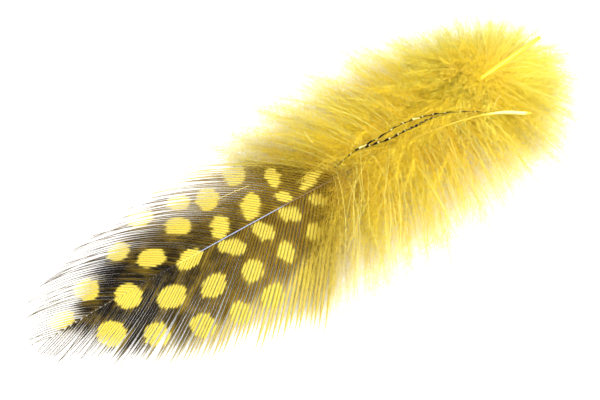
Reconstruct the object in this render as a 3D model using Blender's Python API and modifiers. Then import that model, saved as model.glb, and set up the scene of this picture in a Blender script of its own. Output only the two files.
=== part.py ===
# Guinea fowl feather
#
# A spotted body feather lying flat: one shaft, a vane on both sides of its outer half, and a thick
# bed of down round its inner half, with the stem of the afterfeather curling over the down.
# It grew as one piece, so it is one solid. The fine barbs are grouped: the vane is a thin cambered
# plate whose edge breaks into pointed groups of barbs, and the down is a bed of tapering locks.
#
# Frame: metres, +X along the shaft towards the quill, +Z up, the underside on z = 0, and the
# origin under the shaft where the down is thickest.

import math

import bmesh
import bpy
import numpy as np
from mathutils import Vector

MM = 0.001

# Shaft: its centreline from the tip to the quill end, and its radius along it (millimetres)
SHAFT_X = (-60.0, -50.0, -34.8, -17.9, -11.5, -2.8, 5.8, 15.2, 27.3)
SHAFT_Y = (2.2, 2.0, 1.3, 0.4, -0.1, -0.9, -0.5, -0.4, 0.4)
SHAFT_Z = (0.8, 1.1, 1.3, 1.6, 1.9, 2.7, 4.0, 6.1, 6.3)
SHAFT_RADIUS = (0.14, 0.17, 0.22, 0.26, 0.28, 0.30, 0.33, 0.38, 0.30)
SHAFT_STATIONS = 22
TUBE_RESOLUTION = 1

# Vane: angle of a barb from the direction of the tip, at its root and at its tip (degrees),
# and its length, at six places along the shaft
VANE_X = (-60.0, -52.0, -40.0, -30.0, -20.0, -11.0)
UPPER_ROOT_ANGLE = (18.0, 34.0, 45.0, 48.0, 50.0, 52.0)
UPPER_TIP_ANGLE = (0.0, 0.0, -1.0, 4.0, 13.0, 26.0)
UPPER_LENGTH = (4.0, 12.0, 22.0, 26.0, 26.0, 25.0)
LOWER_ROOT_ANGLE = (14.0, 26.0, 34.0, 38.0, 44.0, 52.0)
LOWER_TIP_ANGLE = (6.0, 10.0, 18.0, 28.0, 38.0, 48.0)
LOWER_LENGTH = (4.0, 10.5, 17.5, 22.0, 24.0, 24.0)
VANE_THICK = 0.30
VANE_EDGE_Z = 0.30
VANE_GROUPS = 24
VANE_COLUMNS = 4
GROUP_NOTCH = 0.17
NOTCH_VARIATION = 0.10
BARB_STEPS = 24

# Down: where a lock is rooted, its angle from the direction of the tip (degrees) and its length,
# from the quill (0) to the vane (1). The roots sink under the quill, which lies bare on the down
DOWN_PLACE = (0.0, 0.15, 0.3, 0.5, 0.75, 1.0)
DOWN_X = (17.0, 16.0, 13.0, 6.0, -4.0, -15.0)
DOWN_Y = (0.6, 0.6, 0.4, -0.3, -0.8, 0.2)
DOWN_Z = (4.3, 4.3, 4.2, 3.6, 2.6, 1.7)
UPPER_DOWN_ANGLE = (165.0, 135.0, 100.0, 75.0, 60.0, 46.0)
UPPER_DOWN_LENGTH = (15.0, 15.5, 17.0, 19.5, 24.0, 24.0)
LOWER_DOWN_ANGLE = (165.0, 137.0, 105.0, 76.0, 60.0, 48.0)
LOWER_DOWN_LENGTH = (15.0, 16.5, 19.5, 24.0, 25.0, 26.0)
DOWN_SWEEP = 16.0

# Layers of locks: how many on each side, where the row starts and ends, length as a share of the
# down's, height above the shaft at the middle of a lock, height of its tip, half width, half
# thickness (millimetres)
LAYERS = (
    (16, 0.02, 0.99, 1.00, -1.2, 0.9, 2.50, 1.05),
    (12, 0.05, 0.92, 0.90, 1.4, 2.6, 2.45, 1.15),
    (9, 0.07, 0.86, 0.72, 3.3, 4.4, 2.50, 1.25),
)
LOCK_SIDES = 6
LOCK_RINGS = 6
LOCK_SHAPE = 0.62
ANGLE_VARIATION = 7.0
LENGTH_VARIATION = 0.09

# The heart of the down: a long low bed under the shaft and a narrower crest over it. Each has
# its two ends along the shaft, half width, half height, height of its middle and its rings
BED = (-16.0, 24.0, 8.0, 2.6, 1.7, 12)
CREST = (-15.0, 15.5, 5.0, 1.8, 4.0, 9)
HEART_SIDES = 14

# Afterfeather stem: it leaves the quill under the down, turns and lies on top of the down
STEM_X = (13.0, 16.5, 18.9, 18.9, 17.0, 14.5, 11.2, 6.5, -0.2, -7.2)
STEM_Y = (-0.4, -2.6, -5.6, -8.4, -8.9, -7.4, -5.7, -4.2, -2.7, -1.2)
STEM_Z = (5.2, 3.6, 3.0, 3.9, 6.0, 6.5, 6.4, 6.2, 5.6, 4.2)
STEM_RADIUS = (0.25, 0.28, 0.30, 0.30, 0.32, 0.30, 0.22, 0.17, 0.14, 0.12)
STEM_STATIONS = 24

CUT_MARGIN = 10.0
WELD = 0.00002


def clear_scene():
    for item in list(bpy.data.objects):
        bpy.data.objects.remove(item, do_unlink=True)


def new_collection(name):
    collection = bpy.data.collections.new(name)
    bpy.context.scene.collection.children.link(collection)
    return collection


def smooth_between(places, values, place):
    """Read a value off a smooth curve through the given places."""
    place = min(max(place, places[0]), places[-1])
    last = len(places) - 1
    left = min(max(int(np.searchsorted(places, place)) - 1, 0), last - 1)
    slopes = []
    for index in (left, left + 1):
        before, after = max(0, index - 1), min(last, index + 1)
        slopes.append((values[after] - values[before]) / (places[after] - places[before]))
    span = places[left + 1] - places[left]
    t = (place - places[left]) / span
    rise = t * t * (3 - 2 * t)
    start = t * (1 - t) ** 2 * span * slopes[0]
    end = t * t * (t - 1) * span * slopes[1]
    return values[left] * (1 - rise) + values[left + 1] * rise + start + end


def shaft_point(x):
    """Centreline of the shaft at x, in millimetres."""
    return np.array(
        (x, smooth_between(SHAFT_X, SHAFT_Y, x), smooth_between(SHAFT_X, SHAFT_Z, x))
    )


def walk(start, side, angles, length, steps):
    """Points of a curved barb that leaves the shaft, on one side of it."""
    points = [np.array(start, float)]
    for angle in angles:
        turn = math.radians(angle)
        step = np.array((-math.cos(turn), side * math.sin(turn), 0.0)) * length / steps
        points.append(points[-1] + step)
    return points


def on_path(points, t):
    """Point and direction at the share t of a path."""
    place = t * (len(points) - 1)
    index = min(int(place), len(points) - 2)
    step = points[index + 1] - points[index]
    return points[index] + step * (place - index), step / np.linalg.norm(step)


def vane_barb(x, side, share, columns):
    """Points along one barb of the vane, from the shaft to a share of its full length."""
    upper = side > 0
    root = np.interp(x, VANE_X, UPPER_ROOT_ANGLE if upper else LOWER_ROOT_ANGLE)
    tip = np.interp(x, VANE_X, UPPER_TIP_ANGLE if upper else LOWER_TIP_ANGLE)
    length = np.interp(x, VANE_X, UPPER_LENGTH if upper else LOWER_LENGTH)
    places = [(step + 0.5) / BARB_STEPS for step in range(BARB_STEPS)]
    angles = [root + (tip - root) * place**1.1 for place in places]
    path = walk(shaft_point(x), side, angles, length, BARB_STEPS)
    points = []
    for column in range(columns + 1):
        along = column / columns * share
        point, _ = on_path(path, along)
        drop = path[0][2] - VANE_EDGE_Z
        points.append(np.array((point[0], point[1], path[0][2] - drop * along**1.5)))
    return points


def down_path(place, side, share, turn, rise, tip_z, steps):
    """Points along one lock of down: it leaves its root, arches and comes down to its tip."""
    upper = side > 0
    start = [smooth_between(DOWN_PLACE, values, place) for values in (DOWN_X, DOWN_Y, DOWN_Z)]
    angle = np.interp(place, DOWN_PLACE, UPPER_DOWN_ANGLE if upper else LOWER_DOWN_ANGLE)
    length = np.interp(place, DOWN_PLACE, UPPER_DOWN_LENGTH if upper else LOWER_DOWN_LENGTH)
    angles = [
        angle + turn + DOWN_SWEEP * (0.5 - (step + 0.5) / steps) for step in range(steps)
    ]
    points = walk(start, side, angles, length * share, steps)
    root_z = points[0][2]
    for step, point in enumerate(points):
        t = step / steps
        arch = root_z + rise
        point[2] = root_z * (1 - t) ** 2 + 2 * arch * t * (1 - t) + tip_z * t * t
    return points


def link_mesh(name, bm, collection):
    bmesh.ops.recalc_face_normals(bm, faces=bm.faces)
    mesh = bpy.data.meshes.new(name)
    bm.to_mesh(mesh)
    bm.free()
    item = bpy.data.objects.new(name, mesh)
    collection.objects.link(item)
    return item


def spindle(name, points, half_width, half_thick, shape, sides, rings, collection):
    """A closed body along a path: round ends, widest before its middle, tapering to a point."""
    bm = bmesh.new()
    bmesh.ops.create_uvsphere(bm, u_segments=sides, v_segments=rings, radius=1.0)
    for vert in bm.verts:
        around = math.atan2(vert.co.y, vert.co.x)
        ring = math.acos(max(-1.0, min(1.0, vert.co.z))) / math.pi
        centre, ahead = on_path(points, ring)
        across = np.array((-ahead[1], ahead[0], 0.0))
        across /= np.linalg.norm(across)
        up = np.cross(ahead, across)
        pole = abs(vert.co.z) > 0.9999
        swell = 0.0 if pole else math.sin(math.pi * ring**shape) ** 0.8
        sideways = across * math.cos(around) * half_width * swell
        upwards = up * math.sin(around) * half_thick * swell
        vert.co = Vector((centre + sideways + upwards) * MM)
    return link_mesh(name, bm, collection)


def tube(name, points, radii, collection):
    """A closed mesh tube along the points, tapering with the radii."""
    curve = bpy.data.curves.new(name, "CURVE")
    curve.dimensions = "3D"
    curve.bevel_depth = MM
    curve.bevel_resolution = TUBE_RESOLUTION
    curve.use_fill_caps = True
    spline = curve.splines.new("POLY")
    spline.points.add(len(points) - 1)
    for node, place, radius in zip(spline.points, points, radii):
        node.co = (*(place * MM), 1.0)
        node.radius = radius
    wire = bpy.data.objects.new(name, curve)
    collection.objects.link(wire)
    bpy.context.view_layer.update()
    mesh = bpy.data.meshes.new_from_object(
        wire.evaluated_get(bpy.context.evaluated_depsgraph_get())
    )
    bm = bmesh.new()
    bm.from_mesh(mesh)
    bmesh.ops.remove_doubles(bm, verts=bm.verts, dist=WELD)
    bpy.data.meshes.remove(mesh)
    matrix = wire.matrix_world.copy()
    bpy.data.objects.remove(wire, do_unlink=True)
    item = link_mesh(name, bm, collection)
    item.matrix_world = matrix
    return item


def make_shaft(collection):
    places = np.linspace(SHAFT_X[0], SHAFT_X[-1], SHAFT_STATIONS)
    points = [shaft_point(x) for x in places]
    radii = [smooth_between(SHAFT_X, SHAFT_RADIUS, x) for x in places]
    return tube("shaft", points, radii, collection)


def make_stem(collection):
    """The afterfeather's stem."""
    marks = tuple(range(len(STEM_X)))
    places = np.linspace(0, marks[-1], STEM_STATIONS)
    points = [
        np.array([smooth_between(marks, values, place) for values in (STEM_X, STEM_Y, STEM_Z)])
        for place in places
    ]
    radii = [smooth_between(marks, STEM_RADIUS, place) for place in places]
    return tube("afterfeather_stem", points, radii, collection)


def make_vane(collection, random):
    """One cambered plate across the shaft, its two edges broken into groups of barbs."""
    rows = 2 * VANE_GROUPS + 1
    across = 2 * VANE_COLUMNS + 1
    bm = bmesh.new()
    bmesh.ops.create_grid(bm, x_segments=rows - 1, y_segments=across - 1, size=1.0)
    places = np.linspace(VANE_X[0], VANE_X[-1], rows)
    sides = {}
    for side in (1, -1):
        for row, x in enumerate(places):
            notch = GROUP_NOTCH + NOTCH_VARIATION * (random.random() - 0.5)
            share = 1.0 if row % 2 else 1.0 - notch
            sides[side, row] = vane_barb(x, side, share, VANE_COLUMNS)
    for vert in bm.verts:
        row = round((vert.co.x + 1) / 2 * (rows - 1))
        column = round((vert.co.y + 1) / 2 * (across - 1)) - VANE_COLUMNS
        point = sides[1 if column >= 0 else -1, row][abs(column)]
        vert.co = Vector(point * MM)
    vane = link_mesh("vane", bm, collection)
    thick = vane.modifiers.new("plate", "SOLIDIFY")
    thick.thickness = VANE_THICK * MM
    thick.offset = 0.0
    return vane


def make_heart(name, sizes, collection):
    """A low body of down along the shaft that carries the locks."""
    first, last, half_width, half_height, height, rings = sizes
    places = np.linspace(first, last, rings)
    points = [np.array((x, shaft_point(x)[1], height)) for x in places]
    return spindle(
        name, points, half_width, half_height, 1.0, HEART_SIDES, rings, collection
    )


def make_locks(collection, random):
    locks = []
    for layer, (count, first, last, share, rise, tip_z, width, thick) in enumerate(LAYERS):
        for side in (1, -1):
            for index in range(count):
                place = first + (last - first) * (index + 0.5 * (layer % 2)) / count
                turn = ANGLE_VARIATION * (2 * random.random() - 1)
                long = share * (1 + LENGTH_VARIATION * (2 * random.random() - 1))
                points = down_path(place, side, long, turn, rise, tip_z, LOCK_RINGS)
                lock = spindle(
                    f"lock_{layer}_{'u' if side > 0 else 'l'}{index}",
                    points,
                    width,
                    thick,
                    LOCK_SHAPE,
                    LOCK_SIDES,
                    LOCK_RINGS,
                    collection,
                )
                locks.append(lock)
    return locks


def make_ground_cutter(collection):
    """Everything below the resting plane."""
    bm = bmesh.new()
    bmesh.ops.create_cube(bm, size=1.0)
    reach = SHAFT_X[-1] - SHAFT_X[0] + 4 * CUT_MARGIN
    size = Vector((reach, reach, CUT_MARGIN)) * MM
    bmesh.ops.scale(bm, vec=size, verts=bm.verts)
    bmesh.ops.translate(bm, vec=Vector((0.0, 0.0, -CUT_MARGIN * MM / 2)), verts=bm.verts)
    cutter = link_mesh("ground_cutter", bm, collection)
    return cutter


def hide_guide(item):
    item.hide_render = True
    item.display_type = "WIRE"


def bake(item, name):
    """The object's shape after its modifiers, as plain mesh."""
    bpy.context.view_layer.update()
    mesh = bpy.data.meshes.new_from_object(
        item.evaluated_get(bpy.context.evaluated_depsgraph_get())
    )
    mesh.name = name
    item.modifiers.clear()
    item.data = mesh
    return item


def keep_outer_body(item):
    """Fill the voids that the locks close off between them: keep only the outer skin."""
    bm = bmesh.new()
    bm.from_mesh(item.data)
    bmesh.ops.remove_doubles(bm, verts=bm.verts, dist=WELD)
    left = set(bm.faces)
    bodies = []
    while left:
        body = [left.pop()]
        for face in body:
            for edge in face.edges:
                for other in edge.link_faces:
                    if other in left:
                        left.remove(other)
                        body.append(other)
        bodies.append(body)
    bodies.sort(key=len)
    for body in bodies[:-1]:
        bmesh.ops.delete(bm, geom=body, context="FACES")
    loose = [vert for vert in bm.verts if not vert.link_faces]
    bmesh.ops.delete(bm, geom=loose, context="VERTS")
    bm.to_mesh(item.data)
    bm.free()
    print("feather: inner bodies filled", len(bodies) - 1)


def feather_material():
    material = bpy.data.materials.new("yellow_down")
    material.use_nodes = True
    principled = material.node_tree.nodes["Principled BSDF"]
    principled.inputs["Base Color"].default_value = (0.72, 0.50, 0.03, 1.0)
    principled.inputs["Roughness"].default_value = 0.85
    principled.inputs["Metallic"].default_value = 0.0
    return material


def make_feather():
    parts = new_collection("guinea_fowl_feather")
    pieces = new_collection("grown_together")
    cutters = new_collection("cutters")
    random = np.random.default_rng(12)
    feather = make_shaft(parts)
    feather.name = "feather"
    make_stem(pieces)
    make_vane(pieces, random)
    make_heart("bed", BED, pieces)
    make_heart("crest", CREST, pieces)
    make_locks(pieces, random)
    for piece in pieces.objects:
        hide_guide(piece)
    grow = feather.modifiers.new("grow together", "BOOLEAN")
    grow.operation = "UNION"
    grow.operand_type = "COLLECTION"
    grow.collection = pieces
    grow.solver = "EXACT"
    bake(feather, "feather")
    cutter = make_ground_cutter(cutters)
    hide_guide(cutter)
    rest = feather.modifiers.new("rest flat", "BOOLEAN")
    rest.operation = "DIFFERENCE"
    rest.object = cutter
    rest.solver = "EXACT"
    bake(feather, "feather")
    keep_outer_body(feather)
    feather.data.materials.clear()
    feather.data.materials.append(feather_material())
    feather.data.shade_smooth()
    feather.data.set_sharp_from_angle(angle=math.radians(50))
    return feather


def main():
    clear_scene()
    make_feather()


main()
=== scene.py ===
"""Guinea fowl feather: the fine barbs, down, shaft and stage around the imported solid."""

import math

import bmesh
import bpy
import numpy as np
from bpy.props import FloatProperty, FloatVectorProperty, IntProperty, PointerProperty
from mathutils import Matrix, Vector


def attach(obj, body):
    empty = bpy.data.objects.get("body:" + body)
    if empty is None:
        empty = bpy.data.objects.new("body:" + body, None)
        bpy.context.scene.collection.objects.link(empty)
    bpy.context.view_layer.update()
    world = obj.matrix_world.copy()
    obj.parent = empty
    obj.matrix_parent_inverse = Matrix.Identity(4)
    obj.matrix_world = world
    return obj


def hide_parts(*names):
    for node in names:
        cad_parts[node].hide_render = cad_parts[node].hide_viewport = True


bl_info = {
    "name": "Guinea fowl feather",
    "version": (1, 0, 0),
    "blender": (4, 5, 0),
    "location": "View3D > Sidebar > Feather",
    "description": "Builds the barbs, down and shaft of a dyed guinea fowl feather",
    "category": "Add Mesh",
}

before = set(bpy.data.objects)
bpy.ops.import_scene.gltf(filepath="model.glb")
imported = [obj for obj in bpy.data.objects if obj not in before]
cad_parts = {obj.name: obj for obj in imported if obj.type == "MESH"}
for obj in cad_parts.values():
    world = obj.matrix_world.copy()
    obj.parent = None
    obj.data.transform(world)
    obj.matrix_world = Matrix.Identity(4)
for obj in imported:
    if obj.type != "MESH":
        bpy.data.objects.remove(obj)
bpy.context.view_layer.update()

MM = 0.001
BODY = "root"
NODE = "feather"

# The feather's layout, as in the part's source (millimetres and degrees)
SHAFT_X = (-60.0, -50.0, -34.8, -17.9, -11.5, -2.8, 5.8, 15.2, 27.3)
SHAFT_Y = (2.2, 2.0, 1.3, 0.4, -0.1, -0.9, -0.5, -0.4, 0.4)
SHAFT_Z = (0.8, 1.1, 1.3, 1.6, 1.9, 2.7, 4.0, 6.1, 6.3)
SHAFT_RADIUS = (0.02, 0.03, 0.08, 0.09, 0.10, 0.20, 0.32, 0.38, 0.31)
VANE_X = (-60.0, -52.0, -40.0, -30.0, -20.0, -11.0)
ROOT_ANGLE = {
    1: (18.0, 34.0, 45.0, 48.0, 50.0, 52.0),
    -1: (14.0, 26.0, 34.0, 38.0, 44.0, 52.0),
}
TIP_ANGLE = {
    1: (0.0, 0.0, -1.0, 4.0, 13.0, 26.0),
    -1: (6.0, 10.0, 18.0, 28.0, 38.0, 48.0),
}
VANE_LENGTH = {
    1: (4.0, 12.0, 22.0, 26.0, 26.0, 25.0),
    -1: (4.0, 10.5, 17.5, 22.0, 24.0, 24.0),
}
VANE_EDGE_Z = 0.30
DOWN_PLACE = (0.0, 0.15, 0.3, 0.5, 0.75, 1.0)
DOWN_X = (17.0, 16.0, 13.0, 6.0, -4.0, -15.0)
DOWN_Y = (0.6, 0.6, 0.4, -0.3, -0.8, 0.2)
DOWN_Z = (4.3, 4.3, 4.2, 3.6, 2.6, 1.7)
DOWN_ANGLE = {
    1: (170.0, 135.0, 100.0, 75.0, 60.0, 46.0),
    -1: (170.0, 137.0, 105.0, 76.0, 60.0, 48.0),
}
DOWN_LENGTH = {
    1: (16.2, 15.5, 17.0, 19.5, 24.0, 24.0),
    -1: (16.2, 17.0, 19.5, 24.0, 25.0, 26.0),
}
DOWN_SWEEP = 16.0
# Rows of down from the lowest to the highest: share of the full length, arch and height of the tip
ROW_HEIGHT = (0.0, 1.0, 2.0)
ROW_SHARE = (1.00, 0.90, 0.72)
ROW_RISE = (-1.2, 1.4, 3.3)
ROW_TIP_Z = (0.9, 2.6, 4.4)
STEM_X = (13.0, 16.5, 18.9, 18.9, 17.0, 14.5, 11.2, 6.5, -0.2, -7.2)
STEM_Y = (-0.4, -2.6, -5.6, -8.4, -8.9, -7.4, -5.7, -4.2, -2.7, -1.2)
STEM_Z = (5.2, 3.6, 3.0, 3.9, 6.0, 6.5, 6.4, 6.2, 5.6, 4.2)
STEM_RADIUS = (0.20, 0.20, 0.20, 0.20, 0.25, 0.25, 0.10, 0.07, 0.04, 0.02)

# The vane's barbs lose their barbules, and then their pigment, from these shares of their length
BARE_FROM = {
    1: (-0.20, 0.14, 0.44, 0.52, 0.58, 0.64),
    -1: (-0.20, 0.24, 0.74, 0.80, 0.82, 0.84),
}
PALE_FROM = {
    1: (1.20, 1.20, 1.20, 1.10, 0.80, 0.30),
    -1: (0.84, 0.80, 0.74, 0.68, 0.54, 0.22),
}
# How much of the room between two barbs their webs fill, along the barb
WEB_PLACE = (0.0, 0.30, 0.60, 1.0)
WEB_COVER = {1: (1.00, 0.98, 0.66, 0.45), -1: (1.00, 0.94, 0.82, 0.66)}

# Dots of the vane: place of the centre, half length, half width, and turn from the shaft (degrees)
DOTS = (
    (-47.4, 1.3, 2.1, 2.0, -66),
    (-42.3, -2.4, 2.3, 1.8, -7),
    (-36.3, -4.4, 2.2, 1.7, 19),
    (-30.4, -5.6, 2.0, 1.6, 36),
    (-24.6, -6.0, 1.9, 1.3, 72),
    (-36.9, 1.2, 2.3, 1.4, 8),
    (-41.5, 4.6, 2.2, 1.6, -17),
    (-35.4, 6.8, 2.0, 1.6, -38),
    (-30.3, 3.1, 2.1, 1.3, 58),
    (-24.6, 3.4, 2.4, 1.4, 55),
    (-19.7, 1.8, 1.3, 1.0, -35),
    (-14.8, 1.8, 2.3, 0.8, 15),
    (-19.2, 5.5, 1.9, 1.1, 75),
    (-23.5, 9.6, 2.3, 1.7, 58),
    (-29.3, 8.2, 2.1, 1.8, 62),
    (-33.2, 10.2, 1.8, 1.4, -37),
    (-39.3, 11.3, 2.1, 1.4, -23),
    (-44.9, 8.3, 1.9, 1.5, 5),
    (-51.9, 5.6, 1.9, 1.8, -68),
    (-57.4, 3.6, 2.0, 1.3, -18),
    (-52.5, -2.3, 2.2, 2.0, -55),
    (-47.2, -6.1, 2.0, 1.9, -62),
    (-41.0, -8.7, 1.9, 1.8, 71),
    (-35.5, -10.1, 2.0, 1.6, 58),
    (-30.1, -10.6, 2.1, 1.6, 44),
    (-24.4, -10.9, 1.9, 1.3, 40),
    (-30.7, -0.7, 2.2, 1.3, -45),
    (-25.5, -1.2, 2.0, 1.3, -66),
    (-20.6, -1.1, 1.9, 1.1, -57),
    (-15.8, -1.6, 1.7, 0.9, -49),
    (-19.3, -5.6, 1.5, 1.3, -34),
)

# Two dark twisted barbs that lie over the down
UPPER_STRAND = (
    (-11.2, 0.6, 3.5),
    (-9.0, 0.7, 4.4),
    (-6.7, 0.6, 5.1),
    (-3.5, 0.3, 5.4),
    (-0.6, 0.1, 6.0),
    (1.8, -0.4, 6.4),
    (4.2, -1.2, 6.6),
    (7.0, -2.5, 6.7),
    (10.1, -4.4, 6.7),
    (12.1, -5.9, 6.6),
)
LOWER_STRAND = (
    (-7.7, 1.6, 3.6),
    (-6.6, 0.7, 4.6),
    (-5.0, 0.0, 5.2),
    (-2.3, -1.0, 5.9),
    (0.1, -1.4, 6.4),
    (1.8, -1.7, 6.5),
    (3.3, -1.8, 6.6),
    (4.8, -2.1, 6.7),
    (7.0, -2.7, 6.7),
)
# Stray pale bristles, two on the down and one over the vane
BRISTLES = (
    ((13.5, -5.8, 6.8), (14.6, -5.1, 7.0), (15.6, -4.7, 6.9)),
    ((-12.0, 7.6, 5.4), (-12.2, 6.4, 5.7), (-12.2, 4.9, 5.4)),
    ((-28.1, 7.1, 1.5), (-25.9, 6.8, 1.6), (-23.9, 6.5, 1.6), (-22.8, 6.3, 1.5)),
)

# Camera: where it looks, from what side and height, and how far off
CAMERA_TARGET = (-18.0, 0.0, 1.5)
CAMERA_AZIMUTH = -34.5
CAMERA_ELEVATION = 62.0
CAMERA_DISTANCE = 250.0
CAMERA_LENS = 100.0
CAMERA_SENSOR = 36.0
# Soft white room and a weak key light: place in metres, watts and metres across
ROOM_LIGHT = 1.82
KEY_PLACE = (0.20, -0.20, 0.30)
KEY_POWER = 1.5
KEY_SIZE = 0.3
FLOOR_REACH = 3.0

# The barbs stand wider apart at the vane's tip, by this much in all
TIP_SPREAD = 4.0
# Steps along a barb of the vane and of the down, and tufts of down on each side
BARB_STEPS = 44
DOWN_STEPS = 12
TUFTS = 9

# What differs between the vane's upper side (1) and its lower one (-1): length of the barbs, sway
# of their ends, how far webs and ridges thin out, and where the dots turn pale and how far dull
VANE_REACH = {1: 1.0, -1: 1.08}
HAIR_SWAY = {1: 0.30, -1: 0.16}
WEB_TAPER = {1: 0.85, -1: 0.60}
RIDGE_TAPER = {1: 0.35, -1: 0.75}
DOT_PALES = {1: (0.25, 0.60), -1: (0.54, 0.92)}
DOT_DULLS = {1: 0.35, -1: 1.0}
# The same for the down: number of barbs, the shares of them before each CROWD_PLACE, how rare
# long ones are, and where they sink under the vane
DOWN_NUMBER = {1: 1.0, -1: 1.1}
CROWD_PLACE = (0.36, 0.90)
DOWN_CROWD = {1: (0.43, 0.95), -1: (0.50, 0.885)}
LONG_ARE_RARE = {1: 1.6, -1: 1.1}
UNDER_VANE = {1: (0.93, 0.80), -1: (0.96, 0.88)}
# Row height at which the low and the high part of the pile meet
PILE_SPLIT = 0.9

# Radii of the fibres where they are thickest
RIDGE_RADIUS = 0.064
BARBULE_RADIUS = 0.026
DOWN_BARB_RADIUS = 0.026
DOWN_BARBULE_RADIUS = 0.023
FUZZ_RADIUS = 0.020
PALE_HAIR_RADII = (0.020, 0.030)
BRISTLE_RADIUS = 0.045
# Room that the finest fibres may take
LOWEST = 0.06
HIGHEST = 7.15
LONGEST = (-66.6, 34.4)
WIDEST = (-25.9, 21.1)

# Each piece's random draws start from its own number
SEEDS = {
    "vane_upper_barbs": 31,
    "vane_lower_barbs": 32,
    "down_upper_low": 41,
    "down_upper_high": 42,
    "down_lower_low": 43,
    "down_lower_high": 44,
    "down_crest_barbs": 51,
}
KERATIN_IOR = 1.54


def linear(hex_colour):
    """An sRGB hex colour as linear red, green, blue and alpha."""
    parts = [int(hex_colour[i : i + 2], 16) / 255 for i in (1, 3, 5)]
    return (*(c / 12.92 if c <= 0.04045 else ((c + 0.055) / 1.055) ** 2.4 for c in parts), 1.0)


def ease(low, high, value):
    """0 below low, 1 above high, smooth between; high may be the smaller one."""
    t = np.clip((np.asarray(value, float) - low) / (high - low), 0, 1)
    return t * t * (3 - 2 * t)


def smooth_between(places, values, place):
    """Read values off a smooth curve through the given places."""
    places, values = np.asarray(places, float), np.asarray(values, float)
    place = np.clip(np.asarray(place, float), places[0], places[-1])
    left = np.clip(np.searchsorted(places, place) - 1, 0, len(places) - 2)
    index = np.arange(len(places))
    before, after = np.maximum(index - 1, 0), np.minimum(index + 1, len(places) - 1)
    slopes = (values[after] - values[before]) / (places[after] - places[before])
    span = places[left + 1] - places[left]
    t = (place - places[left]) / span
    rise = t * t * (3 - 2 * t)
    start = t * (1 - t) ** 2 * span * slopes[left]
    end = t * t * (t - 1) * span * slopes[left + 1]
    return values[left] * (1 - rise) + values[left + 1] * rise + start + end


def smooth_line(marks, count):
    """A smooth line of points through a few marks."""
    steps = np.arange(len(marks))
    along = np.linspace(0, steps[-1], count)
    return np.stack([smooth_between(steps, values, along) for values in zip(*marks)], axis=-1)


def shaft_points(x):
    """The shaft's centreline at each x."""
    x = np.clip(np.asarray(x, float), SHAFT_X[0], SHAFT_X[-1])
    y = smooth_between(SHAFT_X, SHAFT_Y, x)
    z = smooth_between(SHAFT_X, SHAFT_Z, x)
    return np.stack((x, y, z), axis=-1)


def down_roots(place):
    """Where downy barbs are rooted, from the quill (0) to the vane (1)."""
    rows = [smooth_between(DOWN_PLACE, values, place) for values in (DOWN_X, DOWN_Y, DOWN_Z)]
    return np.stack(rows, axis=-1)


def walk(start, side, angles, length):
    """Paths from their starts: angles are (paths, steps) in degrees, one length for each path."""
    turn = np.radians(angles)
    step = np.stack((-np.cos(turn), side * np.sin(turn), np.zeros_like(turn)), axis=-1)
    step *= (length / angles.shape[1])[:, None, None]
    return np.concatenate((start[:, None], start[:, None] + np.cumsum(step, axis=1)), axis=1)


def vane_paths(x, side, share):
    """Barbs of the vane that leave the shaft at each x, to a share of their full length."""
    root = np.interp(x, VANE_X, ROOT_ANGLE[side])
    tip = np.interp(x, VANE_X, TIP_ANGLE[side])
    length = np.interp(x, VANE_X, VANE_LENGTH[side]) * share
    along = (np.arange(BARB_STEPS) + 0.5)[None] / BARB_STEPS * share[:, None]
    paths = walk(shaft_points(x), side, root[:, None] + (tip - root)[:, None] * along**1.1, length)
    reach = np.linspace(0, 1, BARB_STEPS + 1)[None] * share[:, None]
    top = paths[:, :1, 2]
    paths[:, :, 2] = top - (top - VANE_EDGE_Z) * reach**1.5
    return paths, reach


def unit(vectors):
    return vectors / np.maximum(np.linalg.norm(vectors, axis=-1, keepdims=True), 1e-9)


def frames(points):
    """Direction along each path, across it and up from it."""
    ahead = unit(np.gradient(points, axis=1))
    across = unit(np.cross(ahead, (0.0, 0.0, 1.0)) + np.array((1e-6, 0.0, 0.0)))
    return ahead, across, np.cross(across, ahead)


def sample(points, t):
    """Points at the shares t (paths, n) of each path (paths, stations)."""
    place = np.clip(t, 0, 1) * (points.shape[1] - 1)
    index = np.minimum(place.astype(int), points.shape[1] - 2)
    rows = np.arange(points.shape[0])[:, None]
    part = (place - index)[..., None]
    return points[rows, index] * (1 - part) + points[rows, index + 1] * part


def strands(points, radii, flat, values):
    """Closed three-sided fibres along paths (n, stations, 3), each ending in a point.

    values maps an attribute's name to one number for each station."""
    n, k, _ = points.shape
    ahead, across, up = frames(points)
    turns = np.radians((90.0, 210.0, 330.0))
    ring = (
        across[:, :-1, None] * np.cos(turns)[None, None, :, None]
        + up[:, :-1, None] * np.sin(turns)[None, None, :, None] * flat
    )
    ring = points[:, :-1, None] + ring * radii[:, :-1, None, None]
    verts = np.concatenate((ring.reshape(n, -1, 3), points[:, -1:]), axis=1)
    faces = [(0, 1, 2)]
    for level in range(k - 2):
        a, b = 3 * level, 3 * level + 3
        for i in range(3):
            j = (i + 1) % 3
            faces += [(b + i, b + j, a + j), (b + i, a + j, a + i)]
    last, tip = 3 * (k - 2), 3 * (k - 1)
    faces += [(tip, last + (i + 1) % 3, last + i) for i in range(3)]
    faces = np.array(faces)[None] + (np.arange(n) * (tip + 1))[:, None, None]
    spread = {}
    for name, value in values.items():
        value = np.broadcast_to(value, (n, k))
        spread[name] = np.concatenate((np.repeat(value[:, :-1], 3, axis=1), value[:, -1:]), axis=1)
    return verts.reshape(-1, 3), faces.reshape(-1, 3), spread


def join(parts):
    """Several fibre arrays as one."""
    verts, faces, spread, base = [], [], {}, 0
    for points, corners, values in parts:
        verts.append(points)
        faces.append(corners + base)
        base += len(points)
        for name, value in values.items():
            spread.setdefault(name, []).append(value.ravel())
    return (
        np.concatenate(verts),
        np.concatenate(faces),
        {name: np.concatenate(value) for name, value in spread.items()},
    )


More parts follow.
